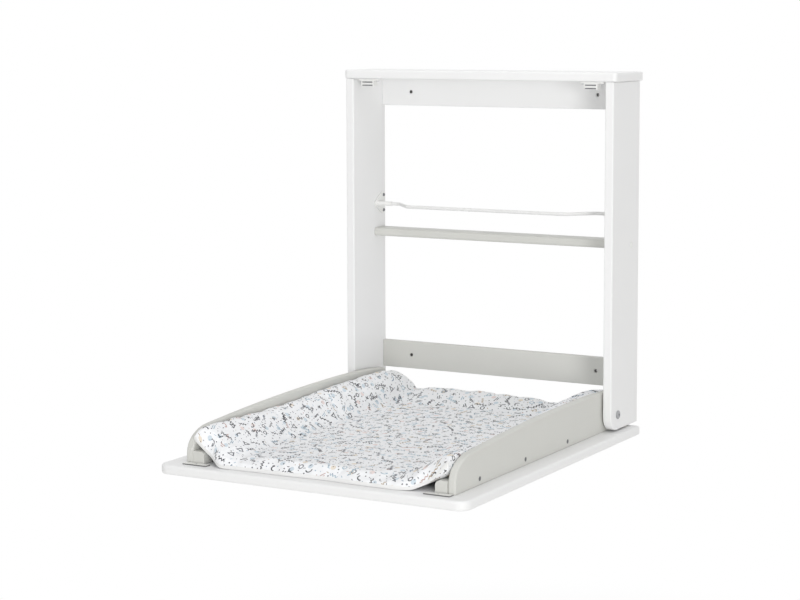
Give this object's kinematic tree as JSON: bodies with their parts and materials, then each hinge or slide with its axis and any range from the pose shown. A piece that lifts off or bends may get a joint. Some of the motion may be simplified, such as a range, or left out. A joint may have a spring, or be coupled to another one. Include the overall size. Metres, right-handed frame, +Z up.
{
  "type": "wall-mounted baby changing station",
  "caption": "Wall-hung folding changing table: open frame with a shelf and a guard wire, and a fold-down board that carries arched cheeks and a padded, printed mat.",
  "frame": {"origin": "on the wall face of the upper rail, in the middle of the rail's length and height", "axes": "+Z up, +Y into the wall, +X along the wall to the right as seen from the room; the open board reaches towards -Y"},
  "size_m": [0.635, 0.7703, 0.7213],
  "materials": {
    "white_lacquer": "smooth satin white lacquer on wood-based board",
    "grey_lacquer": "smooth satin light warm-grey lacquer on wood-based board",
    "white_wire": "white powder coat on round steel wire",
    "white_plastic": "white moulded plastic",
    "nylon": "natural white nylon",
    "zinc_steel": "bright zinc plating",
    "dark_steel": "dark plated steel",
    "magnet_ferrite": "dull dark ferrite",
    "brass": "plain",
    "felt": "pressed felt",
    "printed_cotton": "white coated cotton with a small scattered print in dark grey, light blue, ochre and pink"
  },
  "bodies": {
    "frame": {"top_board": "white_lacquer", "left_side_panel": "white_lacquer", "right_side_panel": "white_lacquer", "upper_rail": "white_lacquer", "lower_rail": "grey_lacquer", "shelf": "grey_lacquer", "left_shelf_screw": "zinc_steel", "left_cover_cap": "white_plastic", "right_shelf_screw": "zinc_steel", "right_cover_cap": "white_plastic", "guard_wire": "white_wire", "left_wire_socket": "white_plastic", "left_socket_screw_1": "dark_steel", "left_socket_screw_2": "dark_steel", "right_wire_socket": "white_plastic", "right_socket_screw_1": "dark_steel", "right_socket_screw_2": "dark_steel", "left_catch_housing": "white_plastic", "left_catch_lower_pole": "dark_steel", "left_catch_upper_pole": "dark_steel", "left_catch_magnet": "magnet_ferrite", "left_catch_screw_1": "zinc_steel", "left_catch_screw_2": "zinc_steel", "right_catch_housing": "white_plastic", "right_catch_lower_pole": "dark_steel", "right_catch_upper_pole": "dark_steel", "right_catch_magnet": "magnet_ferrite", "right_catch_screw_1": "zinc_steel", "right_catch_screw_2": "zinc_steel", "left_pivot_bush": "nylon", "right_pivot_bush": "nylon"},
    "changing_board": {"folding_board": "white_lacquer", "left_cheek": "grey_lacquer", "left_batten": "grey_lacquer", "left_cheek_screw_1": "dark_steel", "left_cheek_screw_2": "dark_steel", "left_cheek_screw_3": "dark_steel", "left_batten_screw_1": "zinc_steel", "left_batten_screw_2": "zinc_steel", "left_batten_screw_3": "zinc_steel", "left_keeper_plate": "zinc_steel", "left_keeper_screw": "dark_steel", "left_pivot_bolt": "zinc_steel", "left_pivot_insert": "brass", "left_stop_pad": "felt", "right_cheek": "grey_lacquer", "right_batten": "grey_lacquer", "right_cheek_screw_1": "dark_steel", "right_cheek_screw_2": "dark_steel", "right_cheek_screw_3": "dark_steel", "right_batten_screw_1": "zinc_steel", "right_batten_screw_2": "zinc_steel", "right_batten_screw_3": "zinc_steel", "right_keeper_plate": "zinc_steel", "right_keeper_screw": "dark_steel", "right_pivot_bolt": "zinc_steel", "right_pivot_insert": "brass", "right_stop_pad": "felt", "changing_mat": "printed_cotton"}
  },
  "joints": [
    {"name": "board_fold", "type": "hinge", "parent": "frame", "child": "changing_board", "pos_m": [0, -0.0975, -0.62325], "axis": [-1, 0, 0], "range_deg": [0, 90]}
  ]
}
